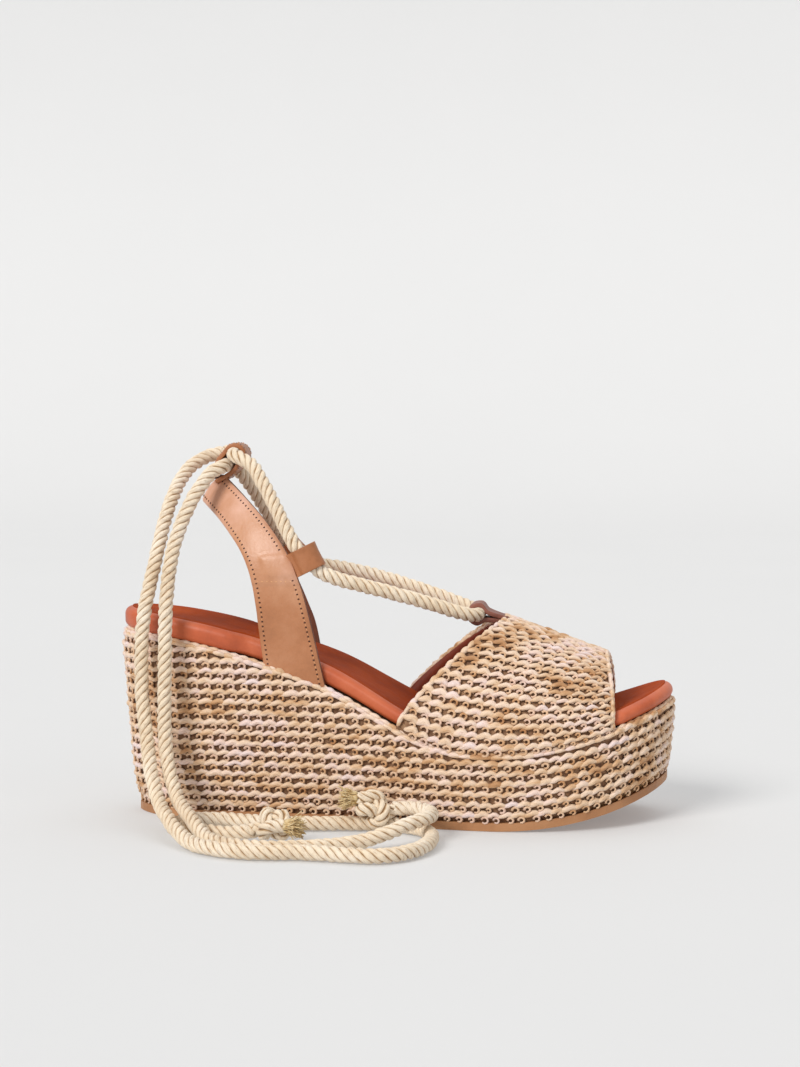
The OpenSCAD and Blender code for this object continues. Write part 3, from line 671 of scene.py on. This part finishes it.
class Weave:
    """Collects the stitches of many rows into two meshes: lobes and curls."""

    def __init__(self):
        self.lobes, self.curls, self.tints = [], [], []

    def row(self, path, normal, keep, stitch, phase, spread=1.0):
        """Stitches along a line on the surface, where keep says so. Phase shifts them along it,
        in periods, and spread widens them."""
        length = arc(path)
        up = unit(np.cross(normal, unit(np.gradient(path, axis=0))))
        count = int(length[-1] / stitch.period)
        if count < 1:
            return
        period = length[-1] / count
        middle = (np.arange(count) + 0.5 + phase) * period
        middle = middle + rng.normal(0, 0.05 * period, count)
        closed = np.allclose(path[0], path[-1])
        if closed:
            middle %= length[-1]
        else:
            middle = middle[(middle > 0.2 * period) & (middle < length[-1] - 0.2 * period)]
        middle = middle[np.interp(middle, length, keep.astype(float)) > 0.5]
        count = len(middle)
        if count == 0:
            return
        vary = rng.normal(1, 0.1, (4, count, 1)).clip(0.75, 1.25)
        wide = np.interp(middle, length, spread + 0 * length)[:, None]
        q = np.linspace(0, 1, 9)[None]
        swell = np.sin(PI * np.clip(q, 0.02, 0.98))
        peak = np.interp(q, [0, 0.3, 0.56, 0.74, 1], [0, 0.42, 1, 0.5, 0])
        s = middle[:, None] + (q - 0.5) * stitch.reach * vary[0]
        s = s % length[-1] if closed else s
        rise = stitch.rise * (peak * vary[1] - 0.45) * wide
        out = -stitch.thick * 0.95 + 0.85 * swell ** 0.7 * vary[2] + 0.3 * (0.5 - q)
        width = stitch.width * (0.4 + 0.62 * swell ** 0.8) * vary[3] * wide
        thick = stitch.thick * (0.5 + 0.5 * swell ** 0.8) * vary[2]
        surface = (length, path, normal, up)
        self.lobes.append(self.place(s, rise, out, width, thick, *surface))
        self.tints.append(rng.uniform(0, 1, count))
        if stitch.curl_r:
            q = np.linspace(0, 1, 8)[None]
            angle = np.radians(175 - 300 * q) + rng.normal(0, 0.25, (count, 1))
            r = stitch.curl_r * vary[1] * wide
            s = middle[:, None] + 0.22 * period + r * np.cos(angle) * 1.05
            s = s % length[-1] if closed else s
            rise = -stitch.curl_drop * wide + r * np.sin(angle)
            out = -0.75 + 0.5 * np.sin(PI * q) + 0 * s
            width = 0.66 * (1 - 0.25 * q) * vary[2]
            self.curls.append(self.place(s, rise, out, width, width, *surface))

    @staticmethod
    def place(s, rise, out, width, thick, length, path, normal, up):
        """Rings of the strands whose points are s along a row, rise up it and out from it."""
        base = at_length(s, length, path)
        lift = unit(at_length(s, length, normal))
        across = unit(at_length(s, length, up))
        centre = base + across * rise[..., None] + lift * out[..., None]
        heading = unit(np.gradient(centre, axis=1))
        side = unit(np.cross(lift, heading))
        return centre, side, unit(np.cross(heading, side)), width, thick

    def build(self, name, body):
        """Makes the two pieces."""
        for suffix, parts, look, sides in (("rows", self.lobes, raffia_light, 8),
                                           ("curls", self.curls, raffia_curls_shaded, 5)):
            arrays = [np.concatenate([p[k] for p in parts]) for k in range(5)]
            vertices, faces, lay = strands(*arrays, sides)
            per_strand = len(vertices) // len(arrays[3])
            tint = rng.uniform(0, 1, len(arrays[3])) if suffix == "curls" else np.concatenate(self.tints)
            piece = new_mesh(f"{name}_{suffix}", vertices, faces, look,
                             attributes={"lay": lay, "tint": np.repeat(tint, per_strand)})
            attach(piece, body)


ROW_PITCH = 4.6
FIRST_ROW = 3.3  # height of the lowest row's middle over the outsole
VAMP_PITCH = 3.8


def add_wedge_weave():
    """Rows round the wedge, level with the sole, an edge band along the rim and the ground, painted dark
    as the shade in the hollows.
    """
    weave = Weave()
    x = plan[:, 0]
    low = bottom_z(x) + OUTSOLE_T
    normal = np.column_stack([-plan_inward, np.zeros(len(plan))])
    # Each row starts at the inner side, so that its seam is out of sight
    start = int(np.argmin(np.abs(x + 60) + 1000 * (plan[:, 1] < 0)))

    def turned(values):
        rolled = np.roll(values, -start, axis=0)
        return np.concatenate([rolled, rolled[:1]])

    row = 0
    while True:
        height = FIRST_ROW + row * ROW_PITCH
        z = low + height
        keep = z < rim_z(x) - 1.3
        if not keep.any():
            break
        z = np.minimum(z, rim_z(x) - 1)
        weave.row(turned(wall_line(z, 0.25)), turned(normal), turned(keep), WALL_STITCH,
                  (0.12 * row) % 1)
        row += 1
    rim = turned(wall_line(rim_z(x) - 1.5, 0.35))
    weave.row(rim, turned(normal), np.ones(len(rim), bool), EDGE_STITCH, 0)
    inner_rim = turned(wall_line(rim_z(x) - 0.5, 1.5))
    weave.row(inner_rim, turned(normal), np.ones(len(rim), bool), EDGE_STITCH, 0.5)
    weave.build("wedge_weave", "shoe")

    rings = [wall_line(low + (rim_z(x) - low) * h, 1.75) for h in WALL_LEVELS]
    rings.append(wall_line(rim_z(x) - 0.2, 2.4))
    rings.append(wall_line(rim_z(x) - 1.2, 4.6))
    shell = new_mesh("wedge_ground", np.vstack(rings),
                     grid_faces(len(rings), len(plan), wrap_cols=True), ground)
    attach(shell, "shoe")
    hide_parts("wedge_wrap")


def sheet_mesh(name, face, back, material, edge=None):
    """Closed sheet between two grids of points, where its cut edge may have its own look."""
    rows, cols = face.shape[:2]
    count = rows * cols
    faces = grid_faces(rows, cols).tolist() + grid_faces(rows, cols, count, flip=True).tolist()
    border = ([j for j in range(cols)] + [i * cols + cols - 1 for i in range(1, rows)]
              + [(rows - 1) * cols + j for j in range(cols - 2, -1, -1)]
              + [i * cols for i in range(rows - 2, 0, -1)])
    faces += [[a, a + count, b + count, b] for a, b in zip(border, border[1:] + border[:1])]
    piece = new_mesh(name, np.vstack([face.reshape(-1, 3), back.reshape(-1, 3)]), faces, material)
    if edge is not None:
        piece.data.materials.append(edge)
        for polygon in piece.data.polygons[-len(border):]:
            polygon.material_index = 1
    return piece


def vamp_grid(depth, trim):
    """Grid of points over the vamp's arch, trim inside its front and rear edge."""
    a = np.linspace(0.0, PI, 97)[:, None]
    t = np.linspace(0, 1, 29)[None]
    rear, front = vamp_rear(a) + trim, vamp_front(a) - trim
    x = rear + (front - rear) * t
    return vamp_point(x, a + 0 * x, depth)


def add_vamp():
    """Rows along the foot, side by side over the arch, with edge bands, ground painted dark as shade,
    and lining.
    """
    weave = Weave()
    middle_x = 72.0
    a = np.linspace(0, PI, 400)
    middle_run = arc(vamp_point(np.full(400, middle_x), a, 0))
    rows = int(middle_run[-1] / VAMP_PITCH)
    turns = np.interp((np.arange(rows) + 0.55) * middle_run[-1] / rows, middle_run, a)
    for k, turn in enumerate(turns):
        rear, front = float(vamp_rear(np.array(turn))), float(vamp_front(turn))
        x = np.linspace(rear + 0.5, front - 0.5, max(8, int(front - rear)))
        path = vamp_point(x, np.full(len(x), turn), 0)
        normal = vamp_normal(x, np.full(len(x), turn))
        near = np.linalg.norm(vamp_point(x, np.full(len(x), turn + 0.02), 0) - path, axis=1)
        there = np.linalg.norm(vamp_point(middle_x, turn + 0.02, 0) - vamp_point(middle_x, turn, 0))
        spread = np.clip(near / there, 0.8, 1.6)
        weave.row(path, normal, np.ones(len(x), bool), VAMP_STITCH, 0.5 * (k % 2) - 0.25, spread)
    for edge, order, shift in ((vamp_rear, 1, 0.8), (vamp_front, -1, -0.8)):
        turn = np.linspace(0.02, PI - 0.02, 200)[::order]
        x = edge(turn) + shift
        for depth, phase in ((0.3, 0), (1.3, 0.5)):
            weave.row(vamp_point(x, turn, depth), vamp_normal(x, turn), np.ones(200, bool),
                      EDGE_STITCH, phase)
    weave.build("vamp_weave", "shoe")
    shell = sheet_mesh("vamp_ground", vamp_grid(1.5, 0.5), vamp_grid(2.3, 0.5), ground)
    lining = sheet_mesh("vamp_inner_lining", vamp_grid(2.35, 0.2), vamp_grid(3.3, 0.2), dark_lining)
    for piece in (shell, lining):
        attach(piece, "shoe")
    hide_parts("vamp_weave")
    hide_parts("vamp_lining")


# ---- footbed ----

FOOTBED_ROLL = 3.4  # radius of the footbed's rounded upper edge


def add_footbed():
    """Padded footbed: a rolled side all round and a gently dished top."""
    x = plan[:, 0]
    inset = footbed_inset(x)
    base = rim_z(x) + 0.6
    top = footbed_z(x)
    rings = []
    for out, up in ((1.6, 0.0), (0.5, 0.9), (0.05, 2.0)):
        rings.append(np.column_stack([plan + plan_inward * (inset + out)[:, None], base + up]))
    for turn in np.linspace(0, PI / 2, 10):
        out = FOOTBED_ROLL * (1 - math.cos(turn))
        up = FOOTBED_ROLL * (math.sin(turn) - 1)
        rings.append(np.column_stack([plan + plan_inward * (inset + out)[:, None], top + up]))
    faces = grid_faces(len(rings), len(plan), wrap_cols=True)
    side = new_mesh("footbed_edge", np.vstack(rings), faces, rust)
    # Top: lines across from each outer point to the inner point opposite
    outer = rings[-1][:toe_index + 1]
    inner = np.vstack([rings[-1][toe_index:], rings[-1][:1]])[::-1]
    rows, cols = 180, 33
    even = np.linspace(0, 1, rows)
    outer = at_length(even, arc(outer) / arc(outer)[-1], outer)
    inner = at_length(even, arc(inner) / arc(inner)[-1], inner)
    w = np.linspace(0, 1, cols)[None, :, None]
    surface = outer[:, None] * (1 - w) + inner[:, None] * w
    across = np.sin(PI * w[..., 0])
    span = np.linalg.norm(outer - inner, axis=1)[:, None]
    dish = 0.028 * span * across ** 1.2 - 0.9 * across ** 0.35 * (span > 4)
    surface[..., 2] -= dish
    faces = grid_faces(rows, cols, flip=True)
    # The top gets the darker copy of the rust leather, which is painted shade
    top_piece = new_mesh("footbed_top", surface.reshape(-1, 3), faces, rust_top_shaded)
    for piece in (side, top_piece):
        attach(piece, "shoe")
    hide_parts("footbed_cover")
    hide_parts("footbed_foam")


# ---- heel strap and loops ----

# Front and rear edge, from the outer base over the heel to the inner base
STRAP_EDGES = np.array([
    [[-28, -30.4, 58.5], [-56, -27.8, 68.3]], [[-32.5, -31.2, 78.5], [-58, -30.8, 86]],
    [[-35, -32.4, 90], [-59, -32, 96]], [[-39, -33, 105], [-61.5, -32, 109.5]],
    [[-44.3, -31.5, 118], [-66, -28.5, 119.5]], [[-54.5, -25.5, 132], [-72.3, -22, 127.5]],
    [[-67, -15, 144], [-79.5, -13, 134.5]], [[-78.5, 0, 152.5], [-88, 0, 140.5]],
    [[-73, 15, 143.5], [-84.5, 12, 134.2]], [[-66.5, 26, 130.5], [-80.5, 20.5, 126.5]],
    [[-59, 32, 117], [-77, 27, 118.5]], [[-51.5, 33, 105.5], [-72, 30.5, 109.5]],
    [[-45, 30.6, 92], [-68.5, 30, 98]], [[-41, 28.7, 81.9], [-66, 28.3, 89.4]],
    [[-37, 27.4, 62.3], [-63.5, 25.5, 72.1]]])
STRAP_T = 1.5
STRAP_CROWN = 1.2
OVERLAY_T = 0.45

strap_front = evenly(chain(STRAP_EDGES[:, 0], 12), 1.0)
strap_rear = chain(STRAP_EDGES[:, 1], 12)
strap_rear = at_length(np.linspace(0, 1, len(strap_front)), arc(strap_rear) / arc(strap_rear)[-1],
                       strap_rear)
strap_ahead = unit(np.gradient(strap_front, axis=0) + np.gradient(strap_rear, axis=0))
strap_out = unit(np.cross(strap_ahead, strap_rear - strap_front))
strap_width = np.linalg.norm(strap_front - strap_rear, axis=1)
strap_run = np.linspace(0, 1, len(strap_front))


def strap_crown(w):
    """How far the strap bulges out, at w across it from the rear edge (0) to the front edge (1)."""
    return STRAP_CROWN * np.sin(PI * w) * np.sin(PI * strap_run)


def strap_point(w, d):
    """Line along the strap at w across it, raised by d."""
    lift = d + strap_crown(w)
    return strap_rear + (strap_front - strap_rear) * w + strap_out * lift[:, None]


# Places along the strap, as parts of its run: the overlay's seam and the loop tail under it
SEAM_AT, SEAM_STEP = 0.209, 0.004
TAIL_FROM, TAIL_TO = 0.216, 0.262


def strap_relief(w):
    """Height of the strap's outer face over its plain shape: overlay step and the hidden tail."""
    relief = np.zeros(len(strap_run))
    for run in (strap_run, 1 - strap_run):
        relief += OVERLAY_T * smooth(SEAM_AT - SEAM_STEP, SEAM_AT + SEAM_STEP, run) * (run < 0.5)
        tail = smooth(TAIL_FROM, TAIL_FROM + 0.015, run) * (1 - smooth(TAIL_TO, TAIL_TO + 0.015, run))
        relief += 0.75 * tail * float(smooth(0.3, 0.42, w))
    edge = min(w, 1 - w)
    return relief - 0.55 * (1 - float(smooth(0, 0.07, edge))) ** 2


def dashes(name, path, normal, spacing, size, look, raised):
    """Short threads, or dark marks painted as the shade in holes, along a line. Size is their length,
    half width and flatness.
    """
    length = arc(path)
    middle = np.arange(spacing / 2, length[-1], spacing)
    q = np.linspace(-0.5, 0.5, 5)[None]
    s = middle[:, None] + q * size[0]
    lift = unit(at_length(s, length, normal))
    centre = at_length(s, length, path) + lift * (raised - 0.25 * (2 * np.abs(q)) ** 2)[..., None]
    heading = unit(np.gradient(centre, axis=1))
    width = size[1] * np.sqrt(np.maximum(1.05 - (2 * q) ** 2, 0.05)) + 0 * s
    vertices, faces, _ = strands(centre, unit(np.cross(lift, heading)), lift, width,
                                 width * size[2], 6)
    return new_mesh(name, vertices, faces, look)


STITCH_PITCH = 2.15
STITCH_INSET = 2.3


def add_strap():
    """Heel sling in one band with its lining, two rows of edge stitching and two cross seams."""
    across = np.concatenate([[0, 0.015], np.linspace(0.05, 0.95, 19), [0.985, 1]])
    face = np.stack([strap_point(w, STRAP_T) + strap_out * strap_relief(w)[:, None]
                     for w in across], 1)
    back = np.stack([strap_point(w, 0.0) for w in across], 1)
    strap = sheet_mesh("heel_strap_leather", face, back, tan, strap_lining)
    inner_face = np.stack([strap_point(w, -0.05) for w in across], 1)
    inner_back = np.stack([strap_point(w, -1.0) for w in across], 1)
    lining = sheet_mesh("heel_strap_inner_lining", inner_face, inner_back, strap_lining)
    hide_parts("heel_strap", "strap_anchor_outer", "strap_anchor_inner")
    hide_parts("heel_strap_lining")
    pieces = [strap, lining]
    for name, w in (("rear", STITCH_INSET / strap_width), ("front", 1 - STITCH_INSET / strap_width)):
        step = smooth(SEAM_AT, SEAM_AT + SEAM_STEP, np.minimum(strap_run, 1 - strap_run))
        lift = STRAP_T + strap_crown(w) + OVERLAY_T * step
        line = strap_rear + (strap_front - strap_rear) * w[:, None] + strap_out * lift[:, None]
        pieces.append(dashes(f"strap_holes_{name}", line, strap_out, STITCH_PITCH,
                             (0.95, 0.5, 0.5), hole_shade, 0.02))
        pieces.append(dashes(f"strap_thread_{name}", line + strap_ahead * STITCH_PITCH / 2,
                             strap_out, STITCH_PITCH, (1.1, 0.24, 0.7), thread, -0.06))
    for k, run in enumerate((SEAM_AT, 1 - SEAM_AT)):
        i = int(run * (len(strap_run) - 1))
        inward = 1 if k == 0 else -1
        points = np.array([strap_point(w, STRAP_T + OVERLAY_T)[i] + strap_ahead[i] * 1.6 * inward
                           for w in np.linspace(0.1, 0.9, 20)])
        pieces.append(dashes(f"strap_seam_{k}", points, np.tile(strap_out[i], (20, 1)), 2.1,
                             (1.2, 0.22, 0.8), thread, 0.0))
    for piece in pieces:
        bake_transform(piece)


def leather_band(name, profile, axis, middle, width, thickness, look, bow=0.0, taper=1.0):
    """Strip of leather that follows a line of points, with its width along axis. Bow lets its
    edges curve in half way, and taper is the part of its width that the ends keep. Gives the
    piece, its middle line and the directions out of it."""
    line = evenly(profile, 0.7)
    tangent = unit(np.gradient(line, axis=0))
    out = unit(np.cross(tangent, axis))
    t = np.linspace(-0.5, 0.5, 9)
    run = np.linspace(0, 1, len(line))
    wide = width * (1 - bow * np.sin(PI * run) ** 2)
    wide = wide * (taper + (1 - taper) * smooth(0, 0.25, run) * (1 - smooth(0.75, 1, run)))
    base = line + middle
    across = base[:, None] + axis * (wide[:, None] * t)[..., None]
    bulge = (0.25 * (1 - (2 * t) ** 2))[None, :, None]
    face = across + out[:, None] * (thickness / 2 + bulge)
    back = across - out[:, None] * (thickness / 2 - bulge)
    piece = sheet_mesh(name, face, back, look)
    soften_edges(piece, 0.3)
    return piece, base, out


def loop_profile(radius, stretch, tail, gap=0.75, lean=0.0):
    """Line in a plane: from the tail's tip, round the rope and back to the tail.
    Stretch lengthens the loop, and lean moves the tail aside."""
    far = stretch + radius
    upper = [[-tail, gap + lean], [-tail + 3, gap + lean], [-far * 0.95, gap + 0.9 + lean * 0.6],
             [-stretch - 1, radius]]
    lower = [[-stretch - 1, -radius], [-far * 0.95, -gap - 0.9 + lean * 0.6],
             [-tail + 3, -gap + lean], [-tail, -gap + lean]]
    turn = np.radians(np.linspace(80, -80, 9))
    ring = [[radius * math.cos(a) + stretch, radius * math.sin(a)] for a in turn]
    return chain(upper + ring + lower, 5)


LOOP_R = ROPE_D / 2 + 0.85  # radius of a leather loop round the rope
CROSSWISE = np.array([0.0, 1.0, 0.0])


def side_loops():
    """A tab on each side of the sling, whose tail goes under the strap's overlay."""
    made = []
    along_strap = unit(np.array([0.45, 0, -0.89]))
    for name, middle, node, axis, stretch, width, lean in (
            ("side_tab_outer", OUTER_LOOP, "side_loop_outer", along_strap, 1.7, 11.0, -1.9),
            ("side_tab_inner", INNER_LOOP, "side_loop_inner", SIDE_LOOP_DIR, 0.0, 9.5, 1.8)):
        forward = np.array([-axis[2], 0, axis[0]])
        sideways = np.cross(axis, forward)
        flat = loop_profile(LOOP_R, stretch, 13.0, lean=lean)
        profile = flat[:, :1] * forward + flat[:, 1:] * sideways
        tab, _, _ = leather_band(name, profile, axis, middle, width, 1.3, loop_tan)
        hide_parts(node)
        made.append(tab)
    return made


def heel_loop():
    """One stitched band round both ropes, which lie one above the other."""
    slope = LANE / np.linalg.norm(LANE)
    across = np.array([-slope[2], 0, slope[0]])
    half = ROPE_D / 2
    turn = np.radians(np.linspace(80, -80, 9))
    bend = [[half + LOOP_R * math.cos(a), LOOP_R * math.sin(a)] for a in turn]
    flat = chain([[-half - 8.5, 0.9], [-half - 5.0, 2.6], [-half, LOOP_R], [0, LOOP_R]] + bend
                 + [[0, -LOOP_R], [-half, -LOOP_R], [-half - 5.0, -2.6], [-half - 8.5, -0.9]], 5)
    profile = flat[:, :1] * slope + flat[:, 1:] * across
    loop, line, out = leather_band("heel_tab", profile, CROSSWISE, HEEL_LOOP, 16.0, 1.9,
                                   loop_tan, bow=0.05)
    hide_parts("heel_loop")
    made = [loop]
    for k, side in enumerate((-1, 1)):
        path = line + CROSSWISE * side * 6.3 + out * 1.1
        keep = slice(8, len(line) - 8)
        for kind, look, size, shift in (("holes", hole_shade, (0.7, 0.34, 0.5), 0),
                                        ("thread", thread, (1.2, 0.22, 0.8), 1.0)):
            moved = path[keep] + unit(np.gradient(path[keep], axis=0)) * shift
            made.append(dashes(f"heel_tab_{kind}_{k}", moved, out[keep], 2.1, size, look, 0.05))
    return made


def vamp_loop():
    """A folded tab whose two leaves close over the vamp's rear point."""
    back = unit(np.array([-0.97, 0, 0.22]))
    down = np.cross(CROSSWISE, back)
    flat = loop_profile(LOOP_R, 0.0, 13.5, gap=1.0)
    profile = flat[:, :1] * back + flat[:, 1:] * down
    tab, _, _ = leather_band("vamp_tab", profile, CROSSWISE, VAMP_LOOP, 13.0, 2.0, brown,
                             bow=-0.08, taper=0.72)
    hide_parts("vamp_loop")
    return tab


def add_loops():
    """The leather loops that hold the lace: three on the sling and one on the vamp."""
    for piece in side_loops() + heel_loop():
        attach(piece, "heel_sling")
    tab = vamp_loop()
    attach(tab, "shoe")


# ---- carried-over nodes, floor and light ----

def dress_frame():
    """Looks for the pieces that keep the shape they have in the design."""
    cork = [(0.1, "#8A6238"), (0.5, "#B98C58"), (0.9, "#D0A874")]
    looks = {
        "outsole": outsole_material(),
        "wedge_core": inner_material("cork", cork, 0.5),
        "insole_board": inner_material("fibreboard", [(0.1, "#6A4A2E"), (0.9, "#8A6A4A")], 0.9),
        "bottom_filler": inner_material("felt", [(0.1, "#77705F"), (0.9, "#A09985")], 1.2),
    }
    for name, look in looks.items():
        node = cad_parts[name]
        if not node.material_slots:
            node.data.materials.append(look)
        for slot in node.material_slots:
            slot.material = look


FLOOR_HALF, BEND_FROM, BEND_RADIUS, BACKDROP_TOP = 8.0, 2.2, 1.2, 5.0  # metres


def add_stage():
    """Seamless pale floor that curves up into a backdrop far behind."""
    bend = np.linspace(0.2, PI / 2, 10)
    depth = np.concatenate([[-FLOOR_HALF, BEND_FROM], BEND_FROM + BEND_RADIUS * np.sin(bend),
                            [BEND_FROM + BEND_RADIUS]])
    height = np.concatenate([[0, 0], BEND_RADIUS * (1 - np.cos(bend)), [BACKDROP_TOP]])
    rows = np.array([[[x, y, z] for y, z in zip(depth, height)] for x in (-FLOOR_HALF, FLOOR_HALF)])
    s = Shader("floor", Roughness=0.9, Specular_IOR_Level=0.1)
    tone = s.noise(s.node("TexCoord").outputs["Object"], 3.0, 2)
    colour = s.ramp(tone, [(0.0, "#BDBDBD"), (1.0, "#BFBFBF")])
    s.link(colour, "Base Color")
    s.link(colour, "Emission Color")
    s.surface.inputs["Emission Strength"].default_value = 0.4
    floor = new_mesh("floor", rows.reshape(-1, 3) / MM, grid_faces(2, len(depth)), s.material)
    floor.location.z = -0.0002


def add_sun(name, source, angle, power, colour=(1, 1, 1)):
    """Sun that shines from the source's side. Its angle, in degrees, softens the shadows."""
    data = bpy.data.lights.new(name, "SUN")
    data.angle = math.radians(angle)
    data.energy = power
    data.color = colour
    lamp = bpy.data.objects.new(name, data)
    lamp.rotation_euler = (-Vector(source)).to_track_quat("-Z", "Y").to_euler()
    bpy.context.scene.collection.objects.link(lamp)


def add_lights():
    """Pale studio: soft key from the near left, light from above, weak fill and grey sky."""
    world = bpy.data.worlds.new("studio")
    bpy.context.scene.world = world
    world.use_nodes = True
    background = world.node_tree.nodes["Background"]
    background.inputs["Color"].default_value = (0.86, 0.87, 0.88, 1)
    background.inputs["Strength"].default_value = 0.42
    add_sun("key", (-0.5, -0.8, 0.68), 26, 2.3, (1, 0.985, 0.96))
    add_sun("top", (0.1, 0.25, 1.0), 60, 0.88)
    add_sun("fill", (0.8, -0.6, 0.4), 60, 0.4, (0.96, 0.98, 1))
    bpy.context.scene.view_settings.view_transform = "Standard"


add_camera()
add_ropes()
add_wedge_weave()
add_vamp()
add_footbed()
add_strap()
add_loops()
dress_frame()
add_stage()
add_lights()
